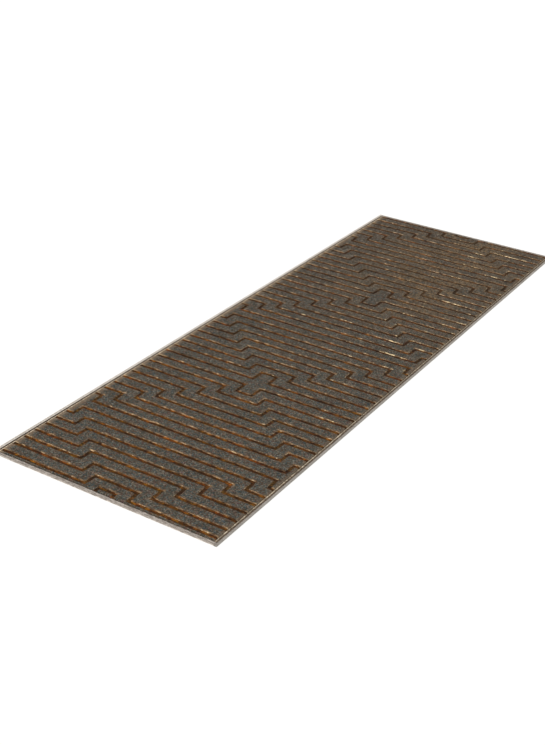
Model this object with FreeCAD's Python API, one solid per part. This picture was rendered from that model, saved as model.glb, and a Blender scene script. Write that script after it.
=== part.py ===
"""Carved-pile runner rug, as the separate pieces it is woven and finished from.

The rug lies flat on the floor. The origin is the middle of its underside: +X across the rug, +Y along it,
+Z up. All sizes are in millimetres.

A ground weave carries two heights of pile. The high pile is cut by narrow stepped lines of low pile into
bands that run from one long edge to the other and bend round a row of diamonds. A coat of latex covers the
back. Each long edge is a cord wrapped in yarn, with a strip of bare weave and a pale selvedge inside it, and
each short end is bound with a folded, stitched tape.
"""

import FreeCAD, Part
import math
import os

Vector = FreeCAD.Vector
ACROSS = Vector(1, 0, 0)
ALONG = Vector(0, 1, 0)
UP = Vector(0, 0, 1)

# Overall size
RUG_WIDTH = 800.0
RUG_LENGTH = 2440.0

# Layers, from the floor up
BACK_COAT_THICKNESS = 0.5
WEAVE_THICKNESS = 1.3
HIGH_PILE_HEIGHT = 4.4
LOW_PILE_HEIGHT = 1.9

# Long edges: a filler cord wrapped in yarn, whose two flat lips hold the ground weave
EDGE_CORD_DIAMETER = 2.8
SERGING_THICKNESS = 0.7
SERGING_LIP_REACH = 4.4
EDGE_CORD_INSET = 2.0
WEAVE_TO_CORD = 0.3

# Between the serging and the pile: bare weave, then a raised selvedge band
BARE_WEAVE_WIDTH = 5.2
SELVEDGE_WIDTH = 4.6
SELVEDGE_THICKNESS = 1.0

# Short ends: a tape folded round the ground weave and sewn with one row of stitches, then bare weave
BINDING_REACH = 15.5
BINDING_THICKNESS = 0.5
END_BARE_WEAVE_WIDTH = 1.5
STITCH_LENGTH = 4.0
STITCH_GAP = 1.5
STITCH_WIDTH = 0.9
STITCH_HEIGHT = 0.3

# Clearance between neighbouring yarns that don't touch
YARN_GAP = 0.3

# Carved pattern. It is scaled to the pile, so its rows (along) and steps (across) are counts.
LINE_WIDTH = 10.0
PATTERN_OFFSET_X = 7.0
ROWS_IN_HALF_LENGTH = 25.73
STEPS_IN_HALF_WIDTH = 8.15
ROWS_PER_DIAMOND = 18.0
LINES_EACH_WAY = 8
FIRST_LINE_ROW = 0.5
FIRST_JOG_STEP = 0.63
FIRST_LINE_EXTRA = 0.15

# Heights of the layers
weave_bottom = BACK_COAT_THICKNESS
weave_top = weave_bottom + WEAVE_THICKNESS
pile_top = weave_top + HIGH_PILE_HEIGHT
line_top = weave_top + LOW_PILE_HEIGHT

# Places across the rug, from the outside in
half_width = RUG_WIDTH / 2
cord_radius = EDGE_CORD_DIAMETER / 2
serging_radius = cord_radius + SERGING_THICKNESS
cord_x = half_width - serging_radius
weave_half_width = cord_x - cord_radius - WEAVE_TO_CORD
lip_inner_x = cord_x - serging_radius - SERGING_LIP_REACH
tape_half_width = lip_inner_x - YARN_GAP
selvedge_outer_x = lip_inner_x - BARE_WEAVE_WIDTH
selvedge_inner_x = selvedge_outer_x - SELVEDGE_WIDTH
pile_half_width = selvedge_inner_x - YARN_GAP

# Places along the rug, from the end in
half_length = RUG_LENGTH / 2
weave_half_length = half_length - BINDING_THICKNESS
binding_inner_y = half_length - BINDING_REACH
pile_half_length = binding_inner_y - END_BARE_WEAVE_WIDTH

row = pile_half_length / ROWS_IN_HALF_LENGTH
step = pile_half_width / STEPS_IN_HALF_WIDTH


def block(x_range, y_range, z_range):
    """A box between two values on each axis."""
    size = [high - low for low, high in (x_range, y_range, z_range)]
    return Part.makeBox(*size, Vector(x_range[0], y_range[0], z_range[0]))


def centred_block(half_x, half_y, z_range):
    """A box centred on the rug's middle."""
    return block((-half_x, half_x), (-half_y, half_y), z_range)


def prism(outline, z_range):
    """The solid that a plan outline sweeps between two heights."""
    low, high = z_range
    corners = [Vector(x, y, low) for x, y in outline]
    face = Part.Face(Part.makePolygon(corners + corners[:1]))
    return face.extrude(UP * (high - low))


def mirrored(shape, normal):
    """A copy of a shape on the other side of the rug's middle."""
    return shape.mirror(Vector(0, 0, 0), normal)


# ---- carved pattern -----------------------------------------------------------------------------------


def pattern_lines():
    """Every carved line as (outer y, inner y, jog distance), from one end of the rug to the other.

    A line crosses the rug at its outer y near both long edges and at its inner y between its two jogs. Each
    diamond has as many lines before its centre as after it, each one step wider than the one inside it.
    """
    lines = []
    centres = [(i + 0.5) * ROWS_PER_DIAMOND for i in (-2, -1, 0, 1)]
    for centre in centres:
        for side in (-1, 1):
            for k in range(LINES_EACH_WAY):
                extra = FIRST_LINE_EXTRA if k == 0 else 0.0
                outer = centre + side * (FIRST_LINE_ROW + k)
                inner = centre + side * (FIRST_LINE_ROW + k + 1 + extra)
                if abs(inner) < ROWS_IN_HALF_LENGTH:
                    lines.append((outer * row, inner * row, (FIRST_JOG_STEP + k) * step))
    return sorted(lines)


def runs_off_the_end(line):
    """Whether only the middle of a line is on the rug, because its outer y is past the end."""
    return abs(line[0]) > pile_half_length


def line_edge(line, shift):
    """One side of a carved line, shift millimetres towards +Y of its middle, from left to right."""
    outer, inner, jog = line
    reach = jog + shift * math.copysign(1, inner - outer)
    left_x = PATTERN_OFFSET_X - reach
    right_x = PATTERN_OFFSET_X + reach
    bump = [(left_x, inner + shift), (right_x, inner + shift)]
    if runs_off_the_end(line):
        end_y = math.copysign(pile_half_length, outer)
        return [(left_x, end_y)] + bump + [(right_x, end_y)]
    outer_y = outer + shift
    left = [(-pile_half_width, outer_y), (left_x, outer_y)]
    right = [(right_x, outer_y), (pile_half_width, outer_y)]
    return left + bump + right


def band_side(line, shift):
    """One long side of a pile band, from long edge to long edge."""
    edge = line_edge(line, shift)
    if runs_off_the_end(line):
        end_y = edge[0][1]
        return [(-pile_half_width, end_y)] + edge + [(pile_half_width, end_y)]
    return edge


def pile_band(below, above):
    """The high pile between two carved lines."""
    near = band_side(below, LINE_WIDTH / 2)
    far = band_side(above, -LINE_WIDTH / 2)
    return prism(near + far[::-1], (weave_top, pile_top))


def pile_end_tabs(lines):
    """The two small rectangles of high pile that the ends of the rug cut from the last diamonds."""
    near = line_edge(lines[0], -LINE_WIDTH / 2)
    far = line_edge(lines[-1], LINE_WIDTH / 2)
    return [prism(tab, (weave_top, pile_top)) for tab in (near, far)]


def carved_line(line):
    """The low pile along one carved line."""
    near = line_edge(line, -LINE_WIDTH / 2)
    far = line_edge(line, LINE_WIDTH / 2)
    return prism(near + far[::-1], (weave_top, line_top))


# ---- ground ---------------------------------------------------------------------------------------------


def ground_weave():
    """Warp and weft that hold every tuft."""
    return centred_block(weave_half_width, weave_half_length, (weave_bottom, weave_top))


def latex_back_coat():
    """The coat under the weave, between the serging's lower lips and the folded ends of the tape."""
    return centred_block(tape_half_width, binding_inner_y - YARN_GAP, (0, weave_bottom))


# ---- long edges, drawn on the right --------------------------------------------------------------------


def edge_cord():
    """Filler cord inside the right serging."""
    length = RUG_LENGTH - 2 * EDGE_CORD_INSET
    start = Vector(cord_x, -length / 2, serging_radius)
    return Part.makeCylinder(cord_radius, length, start, ALONG)


def serging(weave, cord):
    """Yarn wrapped round the right cord, with a lip above and a lip below the ground weave."""
    start = Vector(cord_x, -half_length, serging_radius)
    wrap = Part.makeCylinder(serging_radius, RUG_LENGTH, start, ALONG)
    lip_top = weave_top + SERGING_THICKNESS
    lips = block((lip_inner_x, cord_x), (-half_length, half_length), (0, lip_top))
    return wrap.fuse(lips).cut(weave).cut(cord).removeSplitter()


def selvedge():
    """Pale woven band along the right side of the pile."""
    across = (selvedge_inner_x, selvedge_outer_x)
    along = (-pile_half_length, pile_half_length)
    return block(across, along, (weave_top, weave_top + SELVEDGE_THICKNESS))


# ---- short ends, drawn at the far end ------------------------------------------------------------------


def end_binding(weave):
    """Tape folded round the far end of the ground weave."""
    top = weave_top + BINDING_THICKNESS
    folded = block((-tape_half_width, tape_half_width), (binding_inner_y, half_length), (0, top))
    return folded.cut(weave)


def end_stitches():
    """One row of stitches along the middle of the far tape."""
    pitch = STITCH_LENGTH + STITCH_GAP
    count = int(2 * tape_half_width // pitch)
    first_x = -(count * pitch - STITCH_GAP) / 2
    middle_y = (binding_inner_y + half_length) / 2
    across = (middle_y - STITCH_WIDTH / 2, middle_y + STITCH_WIDTH / 2)
    bottom = weave_top + BINDING_THICKNESS
    stitches = []
    for i in range(count):
        x = first_x + i * pitch
        stitches.append(block((x, x + STITCH_LENGTH), across, (bottom, bottom + STITCH_HEIGHT)))
    return stitches


# ---- the whole rug -----------------------------------------------------------------------------------


def build():
    """Every piece of the rug by name."""
    lines = pattern_lines()
    pieces = {}
    for number, (below, above) in enumerate(zip(lines, lines[1:]), start=1):
        pieces[f"pile_band_{number:02d}"] = pile_band(below, above)
    pieces["pile_end_tabs"] = Part.makeCompound(pile_end_tabs(lines))
    pieces["carved_line_pile"] = Part.makeCompound([carved_line(line) for line in lines])

    weave = ground_weave()
    pieces["ground_weave"] = weave
    pieces["latex_back_coat"] = latex_back_coat()

    cord = edge_cord()
    right_side = {"edge_cord": cord, "serging": serging(weave, cord), "selvedge": selvedge()}
    for name, shape in right_side.items():
        pieces["right_" + name] = shape
        pieces["left_" + name] = mirrored(shape, ACROSS)

    binding = end_binding(weave)
    pieces["far_end_binding"] = binding
    pieces["near_end_binding"] = mirrored(binding, ALONG)
    far_stitches = end_stitches()
    near_stitches = [mirrored(stitch, ALONG) for stitch in far_stitches]
    pieces["end_stitches"] = Part.makeCompound(far_stitches + near_stitches)
    return pieces


os.makedirs("parts", exist_ok=True)
for name, shape in build().items():
    shape.exportStep(f"parts/{name}.step")
    print(name, len(shape.Solids), "solids,", round(shape.Volume / 1000, 1), "cm3")
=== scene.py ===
"""Carved-pile runner rug: every woven and sewn piece, its materials, a pale floor, soft light and a camera.

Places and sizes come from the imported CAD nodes. Lengths are in metres, with millimetres written as 3 * MM.
"""

import bpy
import math
import numpy as np
from mathutils import Matrix, Vector


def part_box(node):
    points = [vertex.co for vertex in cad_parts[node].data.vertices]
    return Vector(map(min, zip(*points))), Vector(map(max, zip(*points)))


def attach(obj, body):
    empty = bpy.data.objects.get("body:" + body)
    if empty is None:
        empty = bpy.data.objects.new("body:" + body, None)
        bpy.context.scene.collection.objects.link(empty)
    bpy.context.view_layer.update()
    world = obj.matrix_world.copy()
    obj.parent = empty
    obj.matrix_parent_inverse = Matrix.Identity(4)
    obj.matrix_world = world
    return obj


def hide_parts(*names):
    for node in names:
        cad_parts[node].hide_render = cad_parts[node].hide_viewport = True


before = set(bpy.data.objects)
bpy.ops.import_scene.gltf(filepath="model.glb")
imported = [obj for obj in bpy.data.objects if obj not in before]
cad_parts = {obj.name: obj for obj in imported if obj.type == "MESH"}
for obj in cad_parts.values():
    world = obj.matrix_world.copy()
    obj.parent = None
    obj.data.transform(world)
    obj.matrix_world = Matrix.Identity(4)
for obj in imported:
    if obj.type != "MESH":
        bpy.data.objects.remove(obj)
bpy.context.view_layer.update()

MM = 0.001

# ---- places that the CAD nodes give --------------------------------------------------------------------

HIGH_PILE_NODES = sorted(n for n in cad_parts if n.startswith("pile_band_")) + ["pile_end_tabs"]


def box(name):
    """Lowest and highest corner of a CAD node as arrays."""
    low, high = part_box(name)
    return np.array(low), np.array(high)


weave_low, weave_high = box("ground_weave")
coat_low, coat_high = box("latex_back_coat")
weave_top = weave_high[2]
pile_high = np.max([box(n)[1] for n in HIGH_PILE_NODES], axis=0)
pile_top = pile_high[2]
pile_half = pile_high[:2]
line_top = box("carved_line_pile")[1][2]
high_pile = pile_top - weave_top
low_pile = line_top - weave_top

# How far a tuft's or a band's foot reaches down into the weave
FOOT_SINK = 0.1 * MM

# ---- mesh helpers --------------------------------------------------------------------------------------


def noise(x, y, size, seed):
    """Smooth noise from -1 to 1, with bumps about size across. It is the same on every run."""
    u, v = np.asarray(x) / size, np.asarray(y) / size
    i, j = np.floor(u).astype(np.int64), np.floor(v).astype(np.int64)
    fu, fv = u - i, v - j
    fu, fv = fu * fu * (3 - 2 * fu), fv * fv * (3 - 2 * fv)

    def corner(a, b):
        """A value from -1 to 1 that depends only on the seed and two whole numbers."""
        h = (a * 374761393 + b * 668265263 + seed * 974711) & 0xFFFFFFFF
        h = ((h ^ (h >> 13)) * 1274126177) & 0xFFFFFFFF
        return ((h ^ (h >> 16)) & 0xFFFF) / 32767.5 - 1

    low = corner(i, j) * (1 - fu) + corner(i + 1, j) * fu
    high = corner(i, j + 1) * (1 - fu) + corner(i + 1, j + 1) * fu
    return low * (1 - fv) + high * fv


def make_piece(name, points, quads, material, slot, nodes, lip_and_painted_light=None):
    """A smooth-shaded piece of quads that rides on the rug and stands for the CAD nodes."""
    mesh = bpy.data.meshes.new(name)
    mesh.vertices.add(len(points))
    mesh.vertices.foreach_set("co", np.ascontiguousarray(points, dtype=np.float32).ravel())
    mesh.loops.add(4 * len(quads))
    mesh.loops.foreach_set("vertex_index", np.ascontiguousarray(quads, dtype=np.int32).ravel())
    mesh.polygons.add(len(quads))
    mesh.polygons.foreach_set("loop_start", np.arange(0, 4 * len(quads), 4, dtype=np.int32))
    mesh.update(calc_edges=True)
    mesh.validate()
    mesh.shade_smooth()
    # The lip values carry the line yarn and its painted highlight and shade.
    if lip_and_painted_light is not None:
        layer = mesh.attributes.new("lip_and_painted_light", "FLOAT", "POINT")
        layer.data.foreach_set("value", np.ascontiguousarray(lip_and_painted_light, dtype=np.float32))
    mesh.materials.append(material)
    piece = bpy.data.objects.new(name, mesh)
    bpy.context.scene.collection.objects.link(piece)
    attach(piece, "root")
    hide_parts(*nodes)
    return piece


def grid_quads(rows, columns, closed=False):
    """Quads of a grid of points, row by row. closed joins the last column to the first."""
    i, j = np.meshgrid(np.arange(rows - 1), np.arange(columns if closed else columns - 1), indexing="ij")
    k = (j + 1) % columns
    quads = [i * columns + j, i * columns + k, (i + 1) * columns + k, (i + 1) * columns + j]
    return np.stack(quads, axis=-1).reshape(-1, 4)


def joined(parts):
    """One set of points and quads from several, and of the values at the points if they have any."""
    points, quads, values, count = [], [], [], 0
    for p, q, *value in parts:
        points.append(p)
        quads.append(q + count)
        values += value
        count += len(p)
    return (np.concatenate(points), np.concatenate(quads)) + ((np.concatenate(values),) if values else ())


def closed_ends(rings):
    """Rings of a closed sweep, with two smaller rings at each end so that it has no hole."""
    first, last = rings[0].mean(axis=0), rings[-1].mean(axis=0)
    start = [first + (rings[0] - first) * k for k in (0.02, 0.6)]
    end = [last + (rings[-1] - last) * k for k in (0.6, 0.02)]
    return np.concatenate([start, rings, end])


def sweep(rings):
    """Points and quads of a closed sweep whose rings have shape (rings, points round, 3)."""
    rings = closed_ends(rings)
    return rings.reshape(-1, 3), grid_quads(rings.shape[0], rings.shape[1], closed=True)


# ---- pile ---------------------------------------------------------------------------------------------

GRID = 1.6 * MM
SHOULDER_WIDTH = 3.4 * MM
RIM_SLOPE_WIDTH = 8 * MM
CORNER_ROUNDING = 3.8 * MM
CORNER_SPREAD = 6.5 * MM
CORNER_REACH = 30 * MM
NO_SIDE_NEAR = 1.0


def top_loops(name):
    """The outlines of a CAD node's top faces, as lists of (x, y) corners."""
    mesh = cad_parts[name].data
    top = max(v.co.z for v in mesh.vertices)
    count, place = {}, {}
    for polygon in mesh.polygons:
        corners = [mesh.vertices[i].co for i in polygon.vertices]
        if any(c.z < top - 1e-5 for c in corners):
            continue
        keys = [(round(c.x, 5), round(c.y, 5)) for c in corners]
        for key, c in zip(keys, corners):
            place[key] = (c.x, c.y)
        for a, b in zip(keys, keys[1:] + keys[:1]):
            edge = (min(a, b), max(a, b))
            count[edge] = count.get(edge, 0) + 1
    follow = {}
    for (a, b), times in count.items():
        if times == 1:
            follow.setdefault(a, []).append(b)
            follow.setdefault(b, []).append(a)
    loops = []
    while follow:
        start = min(follow)
        loop, at = [start], start
        while follow.get(at):
            step = follow[at].pop()
            follow[step].remove(at)
            loop.append(step)
            at = step
        follow = {k: v for k, v in follow.items() if v}
        loops.append(np.array([place[k] for k in loop[:-1]]))
    return loops


def cuts(values, spacing):
    """Every value, with equal steps of about spacing between neighbours."""
    values = np.unique(np.round(values, 5))
    values = values[np.concatenate([[True], np.diff(values) > 2e-5])]
    steps = [np.linspace(a, b, max(2, round((b - a) / spacing) + 1))[:-1] for a, b in zip(values, values[1:])]
    return np.concatenate(steps + [values[-1:]])


def is_inside(x, y, loop):
    """Which points lie inside an outline."""
    inside = np.zeros(np.broadcast(x, y).shape, dtype=bool)
    for (ax, ay), (bx, by) in zip(loop, np.roll(loop, -1, axis=0)):
        if abs(ax - bx) < 1e-6:
            inside ^= (x < ax) & (y > min(ay, by)) & (y <= max(ay, by))
    return inside


def side_distances(x, y, loop):
    """Distances from an outline's nearest side that runs along the rug and nearest that runs across it."""
    across, along = np.full(x.shape, np.inf), np.full(x.shape, np.inf)
    for (ax, ay), (bx, by) in zip(loop, np.roll(loop, -1, axis=0)):
        gap_x = np.maximum(0, np.maximum(min(ax, bx) - x, x - max(ax, bx)))
        gap_y = np.maximum(0, np.maximum(min(ay, by) - y, y - max(ay, by)))
        distance = np.hypot(gap_x, gap_y)
        if abs(ax - bx) < 1e-6:
            across = np.minimum(across, distance)
        else:
            along = np.minimum(along, distance)
    return np.maximum(across, 1e-6), np.maximum(along, 1e-6)


def edge_distance(x, y, loop, cornering=4):
    """Distance in from an outline's edge, a little less in its corners, so that they come out round."""
    across, along = side_distances(x, y, loop)
    return (across**-cornering + along**-cornering) ** (-1 / cornering)


def is_rim(a, b):
    """Whether an outline's side is an outer side of the whole pile."""
    return any(abs(a[k] - b[k]) < 1e-6 and abs(abs(a[k]) - pile_half[k]) < 1e-5 for k in (0, 1))


def line_side_distance(x, y, loop, axis, facing):
    """Distance from the nearest side of an outline that faces a carved line.

    axis is 1 for sides that run across the rug and 0 for those that run along it, and facing is 1 where the
    piece lies on the side's positive side.
    """
    here = (x, y)
    other = 1 - axis
    nearest = np.full(x.shape, NO_SIDE_NEAR)
    for a, b in zip(loop, np.roll(loop, -1, axis=0)):
        if abs(a[axis] - b[axis]) > 1e-6 or is_rim(a, b):
            continue
        middle = (a + b) / 2
        middle[axis] += facing * MM
        if not is_inside(middle[:1], middle[1:], loop)[0]:
            continue
        low, high = min(a[other], b[other]), max(a[other], b[other])
        gap = np.maximum(0, np.maximum(low - here[other], here[other] - high))
        nearest = np.minimum(nearest, np.hypot(gap, here[axis] - a[axis]))
    return nearest


def bend_corners():
    """Where each carved line turns, and the way to the inside of the bend."""
    places, ways = [], []
    for loop in line_loops:
        for k, corner in enumerate(loop):
            others = np.abs(loop - corner)
            match = np.flatnonzero(np.abs(others - line_width).max(axis=1) < 0.3 * MM)
            for m in match:
                before, after = loop[k - 1], loop[(k + 1) % len(loop)]
                inward = np.sign((before - corner) + (after - corner))
                inner = is_inside(*(corner[:, None] + 0.4 * MM * inward[:, None]), loop)[0]
                if inner and not is_rim(corner, before) and not is_rim(corner, after):
                    places.append((corner + loop[m]) / 2)
                    ways.append((loop[m] - corner) / np.linalg.norm(loop[m] - corner))
    return np.array(places), np.array(ways)


def wander(x, y):
    """How far the carver's hand strays from the pattern, sideways in x and y."""
    dx = 0.55 * MM * noise(x, y, 34 * MM, 11) + 0.35 * MM * noise(x, y, 11 * MM, 12)
    dy = 0.75 * MM * noise(x, y, 46 * MM, 13) + 0.6 * MM * noise(x, y, 13 * MM, 14)
    dy = dy + 0.35 * MM * noise(x, y, 6 * MM, 15)
    # Beside the selvedge the pile's edge is straighter.
    dx = dx * np.clip((pile_half[0] - np.abs(x)) / (10 * MM), 0.25, 1)
    # Each corner of a line is cut round: it moves towards the inside of its bend.
    low = np.array([x.min(), y.min()]) - CORNER_REACH
    high = np.array([x.max(), y.max()]) + CORNER_REACH
    near = np.all((corner_places > low) & (corner_places < high), axis=1)
    for place, way in zip(corner_places[near], corner_ways[near]):
        away = ((x - place[0]) ** 2 + (y - place[1]) ** 2) / (2 * CORNER_SPREAD**2)
        pull = CORNER_ROUNDING * np.exp(-away)
        dx, dy = dx + pull * way[0], dy + pull * way[1]
    return dx, dy


def pile_field(loop, spacing, height, lip_and_painted_light_of):
    """Points, quads and lip values of pile inside an outline; the lip values carry the line yarn and its
    painted light.

    height(x, y, distance from the edge) gives its top, and lip_and_painted_light_of(x, y, loop) how much of
    the bright line yarn, with its painted highlight and shade, is at each point.
    """
    xs, ys = cuts(loop[:, 0], spacing), cuts(loop[:, 1], spacing)
    mid_x, mid_y = (xs[1:] + xs[:-1]) / 2, (ys[1:] + ys[:-1]) / 2
    inside = is_inside(*np.meshgrid(mid_x, mid_y), loop)
    rows, columns = inside.shape
    index = np.arange((rows + 1) * (columns + 1)).reshape(rows + 1, columns + 1)
    corners = [index[:-1, :-1], index[:-1, 1:], index[1:, 1:], index[1:, :-1]]
    top_quads = np.stack([c[inside] for c in corners], axis=-1)

    # Where a cell inside meets a cell outside, a wall goes down to the ground weave.
    pad = np.pad(inside, 1)
    core = pad[1:-1, 1:-1]
    sides = [(pad[:-2, 1:-1], 0, 1), (pad[1:-1, 2:], 1, 2), (pad[2:, 1:-1], 2, 3), (pad[1:-1, :-2], 3, 0)]
    walls = []
    for neighbour, a, b in sides:
        edge = core & ~neighbour
        walls.append(np.stack([corners[a][edge], corners[b][edge]], axis=-1))
    walls = np.concatenate(walls)

    used = np.unique(top_quads)
    rim = np.unique(walls)
    renumber = np.full(index.size, -1)
    renumber[used] = np.arange(len(used))
    foot = np.full(index.size, -1)
    foot[rim] = len(used) + np.arange(len(rim))

    x, y = xs[used % (columns + 1)], ys[used // (columns + 1)]
    distance = edge_distance(x, y, loop)
    z = height(x, y, distance)
    # Away from the edge the points are shaken a little, so that the grid doesn't show.
    shake = 0.3 * spacing * np.clip(distance / (1.5 * MM), 0, 1)
    dx, dy = wander(x, y)
    dx = dx + shake * noise(x, y, 1.7 * MM, 21)
    dy = dy + shake * noise(x, y, 1.7 * MM, 22)
    top = np.stack([x + dx, y + dy, z], axis=-1)
    bottom = top[renumber[rim]].copy()
    bottom[:, 2] = weave_top - FOOT_SINK
    start, end = walls[:, 0], walls[:, 1]
    wall_quads = np.stack([foot[start], foot[end], renumber[end], renumber[start]], axis=-1)
    lip_and_painted_light = lip_and_painted_light_of(x, y, loop)
    lip_and_painted_light = np.concatenate([lip_and_painted_light, lip_and_painted_light[renumber[rim]]])
    return np.concatenate([top, bottom]), np.concatenate([renumber[top_quads], wall_quads]), lip_and_painted_light


def high_pile_height(x, y, distance):
    """Height of the high pile: a wall at the carved line, a round shoulder and a tufted top."""
    t = np.clip(distance / SHOULDER_WIDTH, 0, 1)
    shoulder = np.sqrt(1 - (1 - t) ** 2)
    # The whole pile also slopes down to its outer edges, in a shorter way at the ends.
    rim = np.minimum(pile_half[0] - np.abs(x), 1.4 * (pile_half[1] - np.abs(y)))
    t = np.clip(rim / RIM_SLOPE_WIDTH, 0, 1)
    slope = 0.35 + 0.65 * np.sin(t * math.pi / 2)
    tufts = 0.16 * noise(x, y, 2.6 * MM, 31) + 0.16 * noise(x, y, 5.5 * MM, 32)
    tufts = tufts + 0.1 * noise(x, y, 17 * MM, 33)
    z = weave_top + high_pile * np.minimum(0.5 + 0.46 * shoulder, slope) + tufts * MM
    return np.minimum(z, pile_top)


def high_pile_lip_and_painted_highlight(x, y, loop):
    """Tan line yarn also stands in the high pile's shoulders round each line, with a painted highlight that
    makes it strongest on the far and left side.
    """
    far = line_side_distance(x, y, loop, 1, 1)
    left = line_side_distance(x, y, loop, 0, -1)
    others = np.minimum(line_side_distance(x, y, loop, 1, -1), line_side_distance(x, y, loop, 0, 1))
    reach = (5.6 + 1.6 * noise(x, 0 * y, 13 * MM, 35) + 1.4 * noise(x, y, 4 * MM, 36)) * MM
    strength = 0.78 + 0.22 * noise(x, 0.4 * y, 22 * MM, 38)
    # Painted highlight: the far and left shoulders get more tan than the other sides.
    lip_and_painted_light = np.clip(1.3 * (1 - (far / reach) ** 2), 0, 1) * strength
    lip_and_painted_light = np.maximum(lip_and_painted_light, np.clip(1.3 * (1 - left / (0.7 * reach)), 0, 1) * strength * 0.7)
    lip_and_painted_light = np.maximum(lip_and_painted_light, np.clip(1 - others / (0.45 * reach), 0, 1) * 0.5)
    nearest = np.minimum(np.minimum(far, left), others)
    return np.maximum(lip_and_painted_light, 0.2 * np.exp(-nearest / (9 * MM)))


def low_pile_lip_and_painted_light(x, y, loop):
    """In the line the yarn is rust: painted shade darkens it where the line runs along the rug, and a painted
    highlight brightens its far wall where the line runs across the rug.
    """
    far = line_side_distance(x, y, loop, 1, -1)
    across, along = side_distances(x, y, loop)
    crossing = np.clip((across - along) / (4 * MM) + 0.5, 0, 1)
    return 0.2 + crossing * (0.25 + 0.55 * np.clip(1.3 - far / (3.5 * MM), 0, 1))


def low_pile_height(x, y, distance):
    """Height of the low pile: it lies in the line and climbs the walls of the high pile beside it."""
    climb = np.exp(-distance / (1.1 * MM)) * (0.62 + 0.2 * noise(x, y, 7 * MM, 41))
    tufts = 0.8 * MM * (0.22 * noise(x, y, 2.6 * MM, 42) + 0.2 * noise(x, y, 6 * MM, 43))
    rim = np.clip((pile_half[0] - np.abs(x)) / (3 * MM), 0, 1)
    return weave_top + low_pile * (0.72 + 0.1 * rim) + (high_pile - low_pile) * climb * rim + tufts


# ---- materials ----------------------------------------------------------------------------------------


def linear(color):
    """Linear colour from an sRGB one that goes from 0 to 255."""
    values = [c / 255 for c in color]
    return [v / 12.92 if v <= 0.04045 else ((v + 0.055) / 1.055) ** 2.4 for v in values] + [1.0]


WAVE_BEND_SIZE = 10 * MM
SHEEN_ROUGHNESS = 0.45


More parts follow.
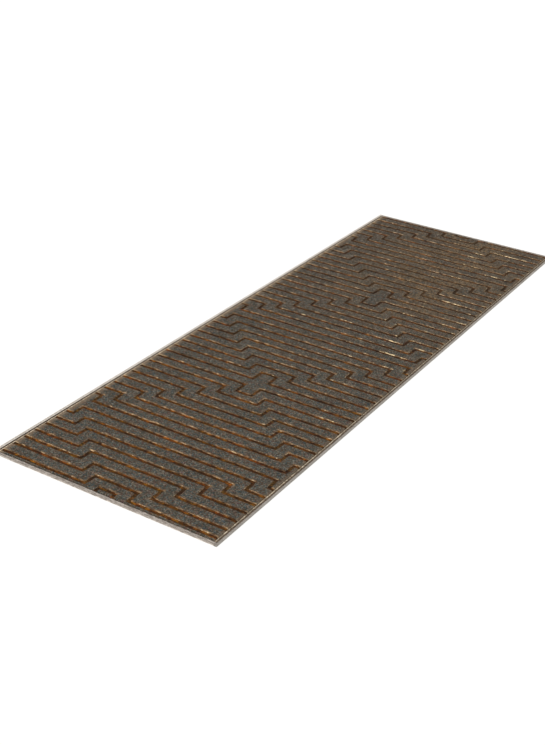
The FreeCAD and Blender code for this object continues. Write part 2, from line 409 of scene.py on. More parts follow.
class Shading:
    """A material with a Principled shader, and short ways to add nodes to it."""

    def __init__(self, name, roughness=0.9, sheen=0.0, sheen_tint=(255, 255, 255), specular=0.2):
        self.material = bpy.data.materials.new(name)
        self.material.use_nodes = True
        self.tree = self.material.node_tree
        self.shader = self.tree.nodes["Principled BSDF"]
        self.shader.inputs["Roughness"].default_value = roughness
        self.shader.inputs["Specular IOR Level"].default_value = specular
        self.shader.inputs["Sheen Weight"].default_value = sheen
        self.shader.inputs["Sheen Roughness"].default_value = SHEEN_ROUGHNESS
        self.shader.inputs["Sheen Tint"].default_value = linear(sheen_tint)
        self.place = self.tree.nodes.new("ShaderNodeTexCoord").outputs["Object"]

    def link(self, value, socket):
        """Joins another node's output to a socket, or sets a plain value on it."""
        if isinstance(value, bpy.types.NodeSocket):
            self.tree.links.new(value, socket)
        else:
            socket.default_value = value

    def math(self, operation, a, b=0.0):
        """The result of a Math node on numbers or other nodes' outputs."""
        node = self.tree.nodes.new("ShaderNodeMath")
        node.operation = operation
        self.link(a, node.inputs[0])
        self.link(b, node.inputs[1])
        return node.outputs[0]

    def stretched(self, scale, offset=(0, 0, 0)):
        """Object coordinates, stretched along the axes."""
        node = self.tree.nodes.new("ShaderNodeMapping")
        self.tree.links.new(self.place, node.inputs["Vector"])
        node.inputs["Scale"].default_value = scale
        node.inputs["Location"].default_value = offset
        return node.outputs["Vector"]

    def noise(self, size, detail=2.0, rough=0.5, vector=None):
        """Noise from 0 to 1 with features about size across."""
        node = self.tree.nodes.new("ShaderNodeTexNoise")
        self.tree.links.new(vector or self.place, node.inputs["Vector"])
        node.inputs["Scale"].default_value = 1 / size
        node.inputs["Detail"].default_value = detail
        node.inputs["Roughness"].default_value = rough
        return node.outputs["Fac"]

    def wave(self, pitch, direction, distortion):
        """Ridges from 0 to 1, pitch apart along an axis."""
        node = self.tree.nodes.new("ShaderNodeTexWave")
        node.wave_type = "BANDS"
        node.bands_direction = direction
        node.wave_profile = "SIN"
        self.tree.links.new(self.place, node.inputs["Vector"])
        node.inputs["Scale"].default_value = math.pi / (10 * pitch)
        node.inputs["Distortion"].default_value = distortion
        node.inputs["Detail"].default_value = 1.0
        node.inputs["Detail Scale"].default_value = 1 / WAVE_BEND_SIZE / node.inputs["Scale"].default_value
        return node.outputs["Fac"]

    def axis(self, name):
        """One of the object coordinates, X, Y or Z, in metres."""
        node = self.tree.nodes.new("ShaderNodeSeparateXYZ")
        self.tree.links.new(self.place, node.inputs[0])
        return node.outputs[name]

    def spread(self, value, low, high, to_low=0.0, to_high=1.0):
        """value from low..high to to_low..to_high, held at the ends."""
        node = self.tree.nodes.new("ShaderNodeMapRange")
        self.link(value, node.inputs["Value"])
        for socket, number in zip(node.inputs[1:5], (low, high, to_low, to_high)):
            socket.default_value = number
        return node.outputs["Result"]

    def ramp(self, value, stops):
        """Colour along a list of (position, sRGB colour)."""
        node = self.tree.nodes.new("ShaderNodeValToRGB")
        self.link(value, node.inputs["Fac"])
        elements = node.color_ramp.elements
        for i, (position, color) in enumerate(stops):
            element = elements[i] if i < 2 else elements.new(position)
            element.position = position
            element.color = linear(color)
        return node.outputs["Color"]

    def mix(self, amount, a, b, blend="MIX"):
        """Colour a with b over it by an amount from 0 to 1."""
        node = self.tree.nodes.new("ShaderNodeMix")
        node.data_type = "RGBA"
        node.blend_type = blend
        self.link(amount, node.inputs["Factor"])
        self.link(a if isinstance(a, bpy.types.NodeSocket) else linear(a), node.inputs["A"])
        self.link(b if isinstance(b, bpy.types.NodeSocket) else linear(b), node.inputs["B"])
        return node.outputs["Result"]

    def shaded(self, color, value):
        """A colour times a value."""
        node = self.tree.nodes.new("ShaderNodeVectorMath")
        node.operation = "SCALE"
        self.link(color, node.inputs[0])
        self.link(value, node.inputs["Scale"])
        return node.outputs["Vector"]

    def greyed(self, color, saturation, value):
        """A colour with its saturation and value multiplied."""
        node = self.tree.nodes.new("ShaderNodeHueSaturation")
        self.link(saturation, node.inputs["Saturation"])
        self.link(value, node.inputs["Value"])
        self.link(color, node.inputs["Color"])
        return node.outputs["Color"]

    def finish(self, color, bump=None, depth=1 * MM, strength=0.5):
        """The material in its colour, with a bump of the given depth if there is one."""
        self.link(color, self.shader.inputs["Base Color"])
        if bump is not None:
            node = self.tree.nodes.new("ShaderNodeBump")
            node.inputs["Strength"].default_value = strength
            node.inputs["Distance"].default_value = depth
            self.link(bump, node.inputs["Height"])
            self.link(node.outputs["Normal"], self.shader.inputs["Normal"])
        return self.material


def lip_and_painted_light_amount(s):
    """How much of the bright line yarn each point of the pile has, with its painted highlight and shade."""
    node = s.tree.nodes.new("ShaderNodeAttribute")
    node.attribute_name = "lip_and_painted_light"
    return node.outputs["Fac"]


def worn(s):
    """How far the pile has gone brown and the lines dull: patches right of the middle in the far half."""
    patch = s.noise(90 * MM, detail=3, rough=0.65, vector=s.stretched((0.6, 1.0, 1.0), (0.3, 0.9, 0)))
    patch = s.spread(patch, 0.4, 0.56)
    place = s.math("MULTIPLY", s.spread(s.axis("X"), -0.3, 0.1), s.spread(s.axis("Y"), 0.1, 0.6))
    place = s.math("MULTIPLY", place, s.spread(s.axis("X"), 0.2, 0.37, 1.0, 0.3))
    return s.math("MULTIPLY", patch, place)


def faded_with_far_shade(s, yarn, far_shade_value):
    """Line yarn in its patches of light and dark, a little duller towards the far end.

    Towards the far end it is also darkened, as painted shade in the grooves.
    """
    patch = s.noise(110 * MM, detail=3, rough=0.7, vector=s.stretched((0.8, 1.0, 1.0), (5.0, 2.0, 0.0)))
    yarn = s.shaded(yarn, s.spread(patch, 0.34, 0.66, 0.5, 1.4))
    saturation = s.spread(s.axis("Y"), -0.9, 0.9, 1.05, 0.97)
    # Painted shade: darker towards the far end, down to the far value.
    yarn = s.greyed(yarn, saturation, s.spread(s.axis("Y"), -0.9, 0.4, 1.0, far_shade_value))
    return s.mix(s.math("MULTIPLY", worn(s), 0.4), yarn, (84, 68, 47))


def line_tone(s):
    """Slow change of the line yarn between rust and ochre."""
    return s.ramp(
        s.noise(26 * MM, detail=3, rough=0.7, vector=s.stretched((0.5, 1.0, 0.2), (2.3, 3.4, 0))),
        [(0.34, (252, 218, 200)), (0.48, (244, 238, 214)), (0.62, (238, 246, 188))],
    )


def line_yarn_with_painted_light(s):
    """Line yarn in the shoulders: rust low down, tan and ochre at the top, with a few cream-gold glints.

    The rust is partly painted shade low on the wall and the tan partly a painted highlight at the top.
    """
    drift = s.noise(11 * MM, detail=5, rough=0.85, vector=s.stretched((0.5, 1.0, 0.2)))
    tan_stops = [(0.36, (34, 25, 17)), (0.44, (78, 60, 43)), (0.52, (116, 93, 70))]
    tan = s.ramp(drift, tan_stops + [(0.58, (148, 123, 95)), (0.66, (222, 196, 158))])
    rust = s.ramp(drift, [(0.34, (24, 11, 5)), (0.5, (64, 36, 16)), (0.66, (120, 76, 36))])
    rust = s.mix(1.0, rust, line_tone(s), "MULTIPLY")
    # Painted shade and highlight: rust low on the wall, tan near its top.
    rise = s.spread(s.axis("Z"), line_top, pile_top - 1.1 * MM)
    yarn = s.mix(rise, faded_with_far_shade(s, rust, 0.6), faded_with_far_shade(s, tan, 1.0))
    yarn = s.mix(s.math("MULTIPLY", edge_rim(s), 0.7), yarn, (214, 190, 152))
    # Glints gather in rows right of the middle, and thin out towards the near end and the left edge.
    across = s.spread(s.axis("X"), -0.15, 0.15, 0.8, 1.0)
    along = s.spread(s.axis("Y"), -0.9, 0.2, 0.88, 1.0)
    spot = s.noise(8 * MM, detail=2, rough=0.6, vector=s.stretched((0.5, 1.0, 0.2), (0.7, 0.2, 0)))
    row = s.noise(40 * MM, detail=1, rough=0.5, vector=s.stretched((0.3, 1.2, 0.2), (0.1, 7.2, 0)))
    gathered = s.math("MULTIPLY", s.math("SUBTRACT", row, 0.5), 0.9)
    spot = s.math("MULTIPLY", s.math("ADD", spot, gathered), across)
    glint = s.spread(s.math("MULTIPLY", spot, along), 0.63, 0.76)
    return s.mix(glint, yarn, (236, 212, 168))


def edge_rim(s):
    """The pile's last tufts beside the long edges, more on the left than on the right."""
    left = s.spread(s.axis("X"), 22 * MM - pile_half[0], MM - pile_half[0], 0.0, 1.0)
    right = s.spread(s.axis("X"), pile_half[0] - 9 * MM, pile_half[0] - MM, 0.0, 0.4)
    return s.math("MAXIMUM", left, right)


def high_pile_material():
    """Charcoal heather: dark yarn with blue, green, brown and plum flecks, with painted shade between the
    tufts.
    """
    s = Shading("high_pile", roughness=0.95, sheen=0.08, sheen_tint=(205, 195, 185), specular=0.1)
    fine = s.math("SUBTRACT", s.noise(4.6 * MM, detail=4, rough=0.85), 0.5)
    coarse = s.noise(10 * MM, detail=4, rough=0.9, vector=s.stretched((1, 0.7, 1), (0.2, 5, 0)))
    coarse = s.math("SUBTRACT", coarse, 0.5)
    coarse = s.math("MULTIPLY", coarse, s.spread(s.axis("Y"), -1.0, 0.8, 0.0, 0.65))
    fleck = s.math("ADD", s.math("ADD", fine, coarse), 0.5)
    yarn_stops = [(0.35, (5, 5, 5)), (0.44, (36, 35, 33)), (0.5, (68, 66, 62))]
    yarn = s.ramp(fleck, yarn_stops + [(0.56, (108, 103, 96)), (0.65, (184, 177, 165))])
    dye = s.noise(8 * MM, detail=3, rough=0.75, vector=s.stretched((1, 1, 1), (3.1, 1.7, 0.4)))
    hue_stops = [(0.32, (36, 66, 92)), (0.43, (58, 80, 78)), (0.5, (70, 74, 66))]
    hue = s.ramp(dye, hue_stops + [(0.57, (98, 72, 46)), (0.7, (92, 54, 84))])
    color = s.mix(0.45, yarn, hue)
    # The pile is a little browner towards the far end. Worn patches are brown with ochre and dark specks.
    color = s.mix(s.spread(s.axis("Y"), -0.7, 1.1, 0.0, 0.2), color, (92, 70, 46))
    speck = s.noise(7 * MM, detail=4, rough=0.85, vector=s.stretched((0.6, 1.0, 0.2), (4.0, 1.0, 0.0)))
    patches = worn(s)
    color = s.mix(s.math("MULTIPLY", patches, 0.2), color, (92, 74, 50))
    color = s.mix(s.math("MULTIPLY", patches, s.spread(speck, 0.49, 0.6, 0.0, 0.7)), color, (160, 130, 92))
    color = s.mix(s.math("MULTIPLY", patches, s.spread(speck, 0.38, 0.48, 0.7, 0.0)), color, (30, 24, 18))
    patch = s.spread(s.noise(40 * MM, detail=3, rough=0.6), 0.3, 0.7, 0.84, 1.16)
    # Painted shade: the pile darkens lower down, between the tufts.
    depth = s.spread(s.axis("Z"), weave_top, pile_top - 0.6 * MM, 0.62, 0.85)
    deeper = s.spread(s.axis("Y"), -1.0, 1.0, 0.96, 0.83)
    color = s.shaded(color, s.math("MULTIPLY", s.math("MULTIPLY", patch, depth), deeper))
    color = s.mix(s.math("MULTIPLY", edge_rim(s), 0.78), color, (132, 112, 92))
    # The line yarn in the shoulders, with its painted light, where the lip values call for it.
    color = s.mix(lip_and_painted_light_amount(s), color, line_yarn_with_painted_light(s))
    tuft = s.noise(1.5 * MM, detail=2, rough=0.6)
    return s.finish(color, bump=tuft, depth=0.8 * MM, strength=0.7)


def low_pile_material():
    """Pile in the lines: dark brown with rust, redder in some places and more ochre in others.

    Painted shade darkens it deep in the groove and where it runs along the rug, and a painted highlight
    brightens the far walls.
    """
    s = Shading("low_pile", roughness=0.8, sheen=0.08, sheen_tint=(230, 170, 110), specular=0.15)
    drift = s.noise(12 * MM, detail=5, rough=0.8, vector=s.stretched((0.5, 1.0, 0.2), (1.3, 0.4, 0)))
    dark = s.ramp(drift, [(0.36, (24, 16, 10)), (0.5, (60, 44, 30)), (0.64, (108, 82, 57))])
    rust_stops = [(0.34, (32, 15, 6)), (0.46, (74, 42, 18)), (0.54, (112, 68, 29)), (0.66, (178, 114, 52))]
    rust = s.ramp(drift, rust_stops)
    # The lip values mix dark and rust yarn, carrying painted shade and a painted highlight.
    color = s.mix(1.0, s.mix(lip_and_painted_light_amount(s), dark, rust), line_tone(s), "MULTIPLY")
    # Painted shade: the yarn darkens deep in the groove.
    depth = s.spread(s.axis("Z"), weave_top + 0.4 * low_pile, pile_top - 1.2 * MM, 0.66, 0.92)
    # Towards the far end the lines are more broken into light and dark stretches.
    stretch = s.noise(20 * MM, detail=4, rough=0.8, vector=s.stretched((0.6, 1.0, 0.2), (6.0, 3.0, 0.0)))
    stretch = s.spread(stretch, 0.35, 0.65, -1.0, 1.0)
    change = s.math("MULTIPLY", stretch, s.spread(s.axis("Y"), -0.9, 0.5, 0.1, 0.75))
    depth = s.math("MULTIPLY", depth, s.math("ADD", change, 1.0))
    tuft = s.noise(1.5 * MM, detail=2, rough=0.6)
    return s.finish(s.shaded(faded_with_far_shade(s, color, 0.6), depth), bump=tuft, depth=0.6 * MM, strength=0.6)


def weave_material():
    """Brown warp and weft, plainly crossed, darker on the left than on the right, with painted shade between
    threads.
    """
    s = Shading("ground_weave", roughness=0.9, specular=0.15)
    warp = s.wave(1.3 * MM, "X", 0.4)
    weft = s.wave(1.7 * MM, "Y", 0.4)
    cross = s.math("MULTIPLY", warp, weft)
    stops = [(0.3, (78, 64, 53)), (0.55, (112, 97, 82)), (0.75, (150, 132, 112))]
    thread = s.ramp(s.noise(9 * MM, detail=3, rough=0.7), stops)
    thread = s.shaded(thread, s.spread(s.axis("X"), -0.3, 0.3, 0.75, 1.0))
    # Painted shade: darker in the hollows between the crossing threads.
    thread = s.shaded(thread, s.spread(cross, 0.0, 0.8, 0.5, 1.1))
    return s.finish(thread, bump=cross, depth=0.5 * MM, strength=0.7)


def latex_material():
    """Beige latex, dull, with the weave's ribs under it."""
    s = Shading("back_coat", roughness=0.7, specular=0.3)
    ribs = s.math("MULTIPLY", s.wave(2.4 * MM, "Y", 0.6), s.wave(3.1 * MM, "X", 0.6))
    base = s.ramp(s.noise(60 * MM, detail=4, rough=0.6), [(0.3, (168, 155, 132)), (0.7, (190, 178, 156))])
    speck = s.spread(s.noise(2.5 * MM, detail=2), 0.3, 0.7, 0.9, 1.06)
    return s.finish(s.shaded(base, speck), bump=ribs, depth=0.5 * MM, strength=0.8)


def selvedge_material():
    """Cream floats broken by darker stretches, darker towards the right and the far end, with painted shade
    between the turns.
    """
    s = Shading("selvedge_yarn", roughness=0.6, sheen=0.2, sheen_tint=(255, 236, 200), specular=0.4)
    value = s.noise(7 * MM, detail=3, rough=0.7)
    stops = [(0.3, (96, 80, 64)), (0.42, (160, 142, 120)), (0.55, (200, 185, 163)), (0.7, (232, 220, 198))]
    yarn = s.ramp(value, stops)
    turns = s.wave(2.2 * MM, "Y", 1.0)
    # Darker towards the right and the far end.
    right_and_far_darkening = s.math("MULTIPLY", s.spread(s.axis("X"), -0.3, 0.3), s.spread(s.axis("Y"), -0.9, 0.6, 0.25, 1.0))
    yarn = s.mix(right_and_far_darkening, yarn, s.shaded(yarn, 0.5))
    broken = s.noise(16 * MM, detail=3, rough=0.7, vector=s.stretched((0.3, 1.0, 0.3), (1.0, 2.0, 0.0)))
    yarn = s.shaded(yarn, s.spread(broken, 0.4, 0.6, 0.5, 1.25))
    # Painted shade: darker between the turns of the floats.
    yarn = s.shaded(yarn, s.spread(turns, 0, 1, 0.75, 1.05))
    return s.finish(yarn, bump=turns, depth=0.5 * MM, strength=0.6)


def serging_material():
    """Greige yarn turns, each a little lighter or darker than the next, with painted light on the left edge
    and painted shade on the right edge.
    """
    s = Shading("serging_yarn", roughness=0.8, sheen=0.2, sheen_tint=(235, 228, 215), specular=0.25)
    turn = s.noise(3 * MM, detail=1, vector=s.stretched((0.15, 1.0, 0.15)))
    fibre = s.noise(0.7 * MM, detail=2, rough=0.7, vector=s.stretched((0.25, 1.0, 0.25)))
    patch = s.noise(80 * MM, detail=2)
    small = s.math("ADD", s.math("MULTIPLY", fibre, 0.3), s.math("MULTIPLY", patch, 0.2))
    value = s.math("ADD", s.math("MULTIPLY", turn, 0.5), small)
    yarn = s.ramp(value, [(0.35, (150, 144, 137)), (0.5, (180, 174, 167)), (0.65, (208, 202, 195))])
    # Painted light and shade: the left edge's yarn brighter, the right edge's darker.
    yarn = s.shaded(yarn, s.spread(s.axis("X"), -0.3, 0.3, 1.15, 0.6))
    return s.finish(yarn, bump=fibre, depth=0.3 * MM, strength=0.5)


def tape_material():
    """Greige herringbone tape, with dark strands towards its inner edge, darker at the far end, and painted
    shade in the grooves of its twill.
    """
    s = Shading("binding_tape", roughness=0.85, sheen=0.1, specular=0.2)
    zigzag = s.math("PINGPONG", s.axis("X"), 2.4 * MM)
    slant = s.math("ADD", s.axis("Y"), s.math("ADD", zigzag, s.axis("Z")))
    twill = s.spread(s.math("PINGPONG", slant, 0.6 * MM), 0, 0.6 * MM)
    value = s.noise(5 * MM, detail=3, rough=0.75, vector=s.stretched((0.4, 1.6, 1.0)))
    thread = s.ramp(value, [(0.3, (116, 107, 99)), (0.48, (158, 149, 141)), (0.65, (202, 194, 186))])
    tape_inner, tape_outer = [corner[1] for corner in box("far_end_binding")]
    inward = s.spread(s.math("ABSOLUTE", s.axis("Y")), tape_inner, tape_outer, 1.0, 0.0)
    strand = s.noise(2.2 * MM, detail=3, rough=0.8, vector=s.stretched((1.0, 0.14, 0.3)))
    top = s.spread(s.axis("Z"), weave_top, weave_top + 0.3 * MM)
    strand = s.spread(s.math("MULTIPLY", strand, inward), 0.43, 0.57, 0.0, 0.85)
    thread = s.shaded(thread, s.spread(s.axis("Y"), -0.5, 0.5, 1.0, 0.74))
    # Painted shade: darker in the grooves of the twill.
    thread = s.shaded(thread, s.spread(twill, 0, 1, 0.82, 1.05))
    color = s.mix(s.math("MULTIPLY", strand, top), thread, (62, 55, 50))
    return s.finish(color, bump=twill, depth=0.3 * MM, strength=0.6)


def thread_material(name, color, dark):
    """Plain thread, twisted and slightly uneven."""
    s = Shading(name, roughness=0.6, sheen=0.1, specular=0.35)
    fibre = s.noise(0.6 * MM, detail=2, rough=0.7)
    yarn = s.mix(s.spread(fibre, 0.3, 0.7), dark, color)
    return s.finish(yarn, bump=fibre, depth=0.2 * MM, strength=0.5)


MATERIALS = {
    "high_pile": high_pile_material(),
    "low_pile": low_pile_material(),
    "ground_weave": weave_material(),
    "back_coat": latex_material(),
    "edge_cord": thread_material("edge_cord", (214, 205, 190), (176, 166, 150)),
    "serging_yarn": serging_material(),
    "selvedge_yarn": selvedge_material(),
    "binding_tape": tape_material(),
    "stitching_thread": thread_material("stitching_thread", (92, 82, 74), (52, 45, 40)),
}


def piece(name, shape, slot, *nodes):
    """Adds a piece from (points, quads) or (points, quads, lip values with painted light), with the slot's
    material.
    """
    points, quads, *lip_and_painted_light = shape
    return make_piece(name, points, quads, MATERIALS[slot], slot, nodes, *lip_and_painted_light)


# ---- pieces: pile --------------------------------------------------------------------------------------

line_loops = sorted(top_loops("carved_line_pile"), key=lambda loop: loop[:, 1].mean())
line_width = np.median([np.abs(np.diff(loop, axis=0)).max(axis=1).min() for loop in line_loops])
corner_places, corner_ways = bend_corners()

for node in HIGH_PILE_NODES:
    shape = joined([pile_field(loop, GRID, high_pile_height, high_pile_lip_and_painted_highlight) for loop in top_loops(node)])
    piece(node + "_tufts", shape, "high_pile", node)

LINES_PER_PIECE = 6
for first in range(0, len(line_loops), LINES_PER_PIECE):
    group = line_loops[first : first + LINES_PER_PIECE]
    shape = joined([pile_field(loop, GRID, low_pile_height, low_pile_lip_and_painted_light) for loop in group])
    name = f"carved_lines_{first // LINES_PER_PIECE + 1}"
    piece(name, shape, "low_pile", "carved_line_pile")

# ---- pieces: ground ------------------------------------------------------------------------------------


def slab(low, high, xs, ys, top_relief, bottom_relief):
    """A closed thin slab whose top and bottom have relief, on the given grid lines."""
    x, y = np.meshgrid(xs, ys)
    top = np.stack([x, y, np.full(x.shape, high[2]) + top_relief(x, y)], axis=-1)
    bottom = np.stack([x, y, np.full(x.shape, low[2]) + bottom_relief(x, y)], axis=-1)
    rows, columns = x.shape
    index = np.arange(rows * columns).reshape(rows, columns)
    rim = np.concatenate([index[0, :-1], index[:-1, -1], index[-1, :0:-1], index[:0:-1, 0]])
    beside = np.roll(rim, -1)
    count = rows * columns
    walls = np.stack([rim + count, beside + count, beside, rim], axis=-1)
    quads = grid_quads(rows, columns)
    points = np.concatenate([top.reshape(-1, 3), bottom.reshape(-1, 3)])
    return points, np.concatenate([quads, quads[:, ::-1] + count, walls])


def strip_cuts(low, high, strip, fine, coarse):
    """Grid lines that are close together in the strips at both ends and further apart between them."""
    first = cuts([low, low + strip], fine)
    inner = cuts([low + strip, high - strip], coarse)
    last = cuts([high - strip, high], fine)
    return np.unique(np.concatenate([first, inner, last]))


def weave_relief(x, y):
    """Ribs of the weft, 3 mm apart, with uneven beating-up."""
    ribs = np.cos(2 * math.pi * y / (3 * MM) + 0.8 * noise(x, y, 20 * MM, 51))
    return 0.06 * MM * ribs - 0.08 * MM + 0.04 * MM * noise(x, y, 4 * MM, 52)


def flat_relief(x, y):
    """No relief."""
    return np.zeros(np.shape(x))


def coat_relief(x, y):
    """Shallow swells in the latex, which hardened on the uneven weave."""
    swells = np.cos(2 * math.pi * y / (22 * MM)) * np.cos(2 * math.pi * x / (28 * MM))
    return 0.08 * MM + 0.05 * MM * swells + 0.03 * MM * noise(x, y, 30 * MM, 53)


weave = piece(
    "ground_weave_cloth",
    slab(
        weave_low,
        weave_high,
        strip_cuts(weave_low[0], weave_high[0], 17 * MM, 1.7 * MM, 24 * MM),
        strip_cuts(weave_low[1], weave_high[1], 18 * MM, 1.5 * MM, 3 * MM),
        weave_relief,
        flat_relief,
    ),
    "ground_weave",
    "ground_weave",
)
coat = piece(
    "latex_coat",
    slab(
        coat_low,
        coat_high,
        cuts([coat_low[0], coat_high[0]], 7 * MM),
        cuts([coat_low[1], coat_high[1]], 5.5 * MM),
        flat_relief,
        coat_relief,
    ),
    "back_coat",
    "latex_back_coat",
)

# ---- pieces: long edges --------------------------------------------------------------------------------

TURN_PITCH = 2.8 * MM
TURN_DEPTH = 0.42 * MM
RINGS_PER_TURN = 4
LIP_THICKNESS = 0.7 * MM
LIP_ROUNDING = 0.2 * MM
CORD_TWIST_PITCH = 16 * MM


def serging_section(low, high, cord_low, cord_high):
    """Outer and inner outline of the serging across the right edge, as (x, z) points."""
    radius = (high[2] - low[2]) / 2
    middle = np.array([(cord_low[0] + cord_high[0]) / 2, radius])
    turn = np.radians(np.linspace(168, -90, 13))
    bead = middle + radius * np.stack([np.cos(turn), np.sin(turn)], axis=-1)
    lip_start = low[0] + LIP_ROUNDING
    lip_x = np.linspace(lip_start, bead[0, 0] - 0.5 * MM, 5)
    top = np.stack([lip_x, np.full(5, weave_top + LIP_THICKNESS)], axis=-1)
    bottom = np.array([(middle[0] - 1.5 * MM, low[2]), (lip_start, low[2])])
    outer = np.concatenate([top, bead, bottom])
    weave_edge = weave_high[0] + 0.05 * MM
    inner = [(low[0], weave_low[2]), (weave_edge, weave_low[2]), (weave_edge, weave_top), (low[0], weave_top)]
    return outer, np.array(inner)


def serging(side):
    """Yarn turns round one long edge."""
    low, high = box("right_serging")
    outer, inner = serging_section(low, high, *box("right_edge_cord"))
    tangent = np.gradient(outer, axis=0)
    normal = np.stack([-tangent[:, 1], tangent[:, 0]], axis=-1)
    normal /= np.linalg.norm(normal, axis=1)[:, None]
    seed = 61 if side > 0 else 66
    count = round((high[1] - low[1]) / TURN_PITCH) * RINGS_PER_TURN + 1
    y = np.linspace(low[1] + 0.3 * MM, high[1] - 0.3 * MM, count)[:, None]
    along = np.linspace(0, 1, len(outer))[None, :]
    drift = 0.5 * noise(y, 0 * y, 15 * MM, seed) + 0.25 * noise(y, 0 * y, 4 * MM, seed + 1)
    phase = math.pi * (y / TURN_PITCH + 0.8 * along + drift)
    ridge = TURN_DEPTH * np.abs(np.sin(phase)) ** 0.6 - 0.4 * MM
    ridge = ridge + 0.08 * MM * noise(y, 0 * y, 9 * MM, seed + 2)
    shape = outer[None] + ridge[..., None] * normal[None]
    shape[..., 1] = np.maximum(shape[..., 1], 0.05 * MM)
    section = np.concatenate([shape, np.broadcast_to(inner, (count,) + inner.shape)], axis=1)
    y = np.broadcast_to(y, section.shape[:2])
    return sweep(np.stack([section[..., 0] * side, y, section[..., 1]], axis=-1))


def twisted_cord(side):
    """Three-ply filler cord inside the serging."""
    low, high = box("right_edge_cord")
    radius = (high[2] - low[2]) / 2
    y = np.arange(low[1], high[1], 1.5 * MM)[:, None]
    turn = np.linspace(0, 2 * math.pi, 12, endpoint=False)[None, :]
    twist = 2 * math.pi * y / CORD_TWIST_PITCH
    r = radius * (0.86 + 0.14 * np.cos(3 * (turn - twist)))
    x = side * ((low[0] + high[0]) / 2 + r * np.cos(turn))
    z = (low[2] + high[2]) / 2 + r * np.sin(turn)
    return sweep(np.stack([x, np.broadcast_to(y, x.shape), z], axis=-1))


def selvedge_band(side):
    """A pale band of floats beside the pile, uneven in height and width."""
    low, high = box("right_selvedge")
    y = np.arange(low[1], high[1], 1.4 * MM)[:, None]
    across = np.linspace(-1, 1, 9)[None, :]
    seed = 71 if side > 0 else 76
    half = (high[0] - low[0]) / 2 * (0.93 + 0.07 * noise(y, 0 * y, 9 * MM, seed))
    middle = (high[0] + low[0]) / 2 + 0.25 * MM * noise(y, 0 * y, 21 * MM, seed + 1)
    rise = (high[2] - low[2]) * (0.78 + 0.2 * noise(y, 6 * MM * across, 4 * MM, seed + 2))
    floats = 0.9 + 0.1 * np.cos(2 * math.pi * y / (4.4 * MM))
    x = middle + half * across
    z = low[2] + rise * np.sqrt(np.maximum(0, 1 - across**2)) * floats
    top = np.stack([side * x, np.broadcast_to(y, x.shape), z], axis=-1)
    under = top[:, [-2, 1]].copy()
    under[..., 2] = low[2] - FOOT_SINK
    return sweep(np.concatenate([top, under], axis=1))


for side, name in ((-1, "left"), (1, "right")):
    piece(name + "_serging_turns", serging(side), "serging_yarn", name + "_serging")
    piece(name + "_cord_twist", twisted_cord(side), "edge_cord", name + "_edge_cord")
    floats = selvedge_band(side)
    piece(name + "_selvedge_floats", floats, "selvedge_yarn", name + "_selvedge")

# ---- pieces: short ends --------------------------------------------------------------------------------

STITCH_LENGTH = 4.0 * MM
STITCH_PITCH = 5.5 * MM
STITCH_RADIUS = 0.45 * MM


def folded_tape(side):
    """Tape folded round the end of the ground weave, slightly uneven along its inner edge."""
    low, high = box("far_end_binding")
    x = cuts([low[0], high[0]], 1.2 * MM)[:, None]
    fold = (high[2] - low[2]) / 2
    flat = np.linspace(low[1], high[1] - fold, 9)
    turn = np.radians(np.linspace(90, -90, 9))[1:-1]
    outer_y = np.concatenate([flat, high[1] - fold + fold * np.cos(turn), flat[::-1]])
    outer_z = np.concatenate([np.full(9, high[2]), fold + fold * np.sin(turn), np.full(9, low[2])])
    inner_y = np.array([low[1], weave_high[1], weave_high[1], low[1]])
    inner_z = np.array([weave_low[2], weave_low[2], weave_top, weave_top])
    y, z = np.concatenate([outer_y, inner_y])[None, :], np.concatenate([outer_z, inner_z])[None, :]
    free = np.clip((high[1] - y) / (high[1] - low[1]), 0, 1)
    seed = 81 if side > 0 else 86
    waver = 0.45 * MM * noise(x, 0 * x, 16 * MM, seed) + 0.25 * MM * noise(x, 0 * x, 5 * MM, seed + 1)
    y = y + free * waver
    pucker = 0.12 * MM * np.cos(2 * math.pi * x / STITCH_PITCH) * np.sin(math.pi * free) ** 2
    z = np.where(z > weave_top + 0.1 * MM, z - 0.05 * MM + pucker, z + 0 * x)
    rings = np.stack([np.broadcast_to(x, y.shape), side * y, z], axis=-1)
    return sweep(rings)


def stitches():
    """Every stitch as a short plump length of thread that dips in at both ends."""
    low, high = box("end_stitches")
    row_y = high[1] - STITCH_RADIUS
    s = np.linspace(-1, 1, 8)[:, None]
    turn = np.linspace(0, 2 * math.pi, 7, endpoint=False)[None, :]
    thick = STITCH_RADIUS * np.sqrt(np.maximum(0.04, 1 - s**4))
    z = low[2] - 0.05 * MM + 0.7 * thick * np.sin(turn)
    parts = []
    for side in (-1, 1):
        for start in np.arange(low[0], high[0] - STITCH_LENGTH / 2, STITCH_PITCH):
            skew = 0.15 * MM * noise(start, side, 3 * MM, 91)
            x = np.broadcast_to(start + STITCH_LENGTH * (1 + s) / 2, z.shape)
            y = side * row_y + skew * s + thick * np.cos(turn)
            parts.append(sweep(np.stack([x, y, z], axis=-1)))
    return joined(parts)


for side, name in ((-1, "near"), (1, "far")):
    piece(name + "_end_tape", folded_tape(side), "binding_tape", name + "_end_binding")
piece("end_stitch_row", stitches(), "stitching_thread", "end_stitches")

# ---- floor, light and camera --------------------------------------------------------------------------

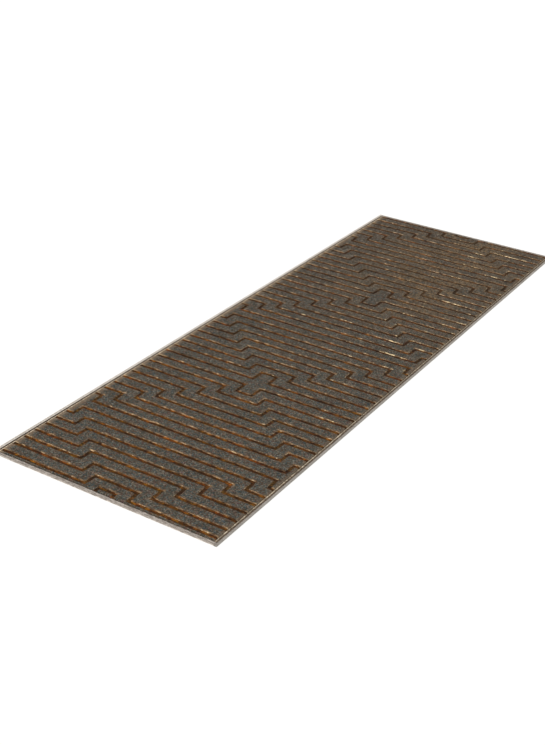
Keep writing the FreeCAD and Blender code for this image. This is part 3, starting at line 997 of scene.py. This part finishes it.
FLOOR_REACH = 30.0
FLOOR_COLOR = (178, 178, 177)
FLOOR_GLOW = 0.55
STUDIO_COLOR = (1.0, 0.99, 0.975, 1)
STUDIO_STRENGTH = 0.55
KEY_COLOR = (1.0, 0.97, 0.93)
KEY_STRENGTH = 3.0
KEY_ANGLE = math.radians(14)
TOWARDS_KEY = Vector((0.02, -0.78, 0.62))
AZIMUTH, ELEVATION, ROLL = math.radians(-31.11), math.radians(28.18), math.radians(2.445)
LOOKED_AT = Vector((0.0009, -0.3140, 0))
CAMERA_DISTANCE = 4.0384
LENS_MM, SENSOR_WIDTH_MM = 58.565, 36.0


def in_scene(name, data):
    """A new object that holds the data, in the scene."""
    thing = bpy.data.objects.new(name, data)
    bpy.context.scene.collection.objects.link(thing)
    return thing


floor_mesh = bpy.data.meshes.new("floor")
floor_corners = [(x * FLOOR_REACH, y * FLOOR_REACH, 0) for x, y in ((-1, -1), (1, -1), (1, 1), (-1, 1))]
floor_mesh.from_pydata(floor_corners, [], [(0, 1, 2, 3)])
pale = Shading("pale_floor", roughness=1.0, specular=0.0)
pale.shader.inputs["Emission Color"].default_value = (1, 1, 1, 1)
pale.shader.inputs["Emission Strength"].default_value = FLOOR_GLOW
floor_mesh.materials.append(pale.finish(linear(FLOOR_COLOR)))
in_scene("floor", floor_mesh)

world = bpy.data.worlds.new("studio")
bpy.context.scene.world = world
world.use_nodes = True
world.node_tree.nodes["Background"].inputs["Color"].default_value = STUDIO_COLOR
world.node_tree.nodes["Background"].inputs["Strength"].default_value = STUDIO_STRENGTH

key = bpy.data.lights.new("key", "SUN")
key.energy = KEY_STRENGTH
key.angle = KEY_ANGLE
key.color = KEY_COLOR
in_scene("key", key).rotation_euler = TOWARDS_KEY.to_track_quat("Z", "Y").to_euler()

bpy.context.scene.view_settings.view_transform = "Standard"

level = math.cos(ELEVATION)
look = Vector((math.sin(AZIMUTH) * level, math.cos(AZIMUTH) * level, -math.sin(ELEVATION)))
right = look.cross(Vector((0, 0, 1))).normalized()
up = right.cross(look)
camera = bpy.data.cameras.new("camera")
camera.lens = LENS_MM
camera.sensor_width = SENSOR_WIDTH_MM
camera.clip_end = 100
camera_object = in_scene("camera", camera)
place = LOOKED_AT - CAMERA_DISTANCE * look
x_axis = math.cos(ROLL) * right + math.sin(ROLL) * up
y_axis = -math.sin(ROLL) * right + math.cos(ROLL) * up
camera_object.matrix_world = Matrix.Translation(place) @ Matrix((x_axis, y_axis, -look)).transposed().to_4x4()
bpy.context.scene.camera = camera_object
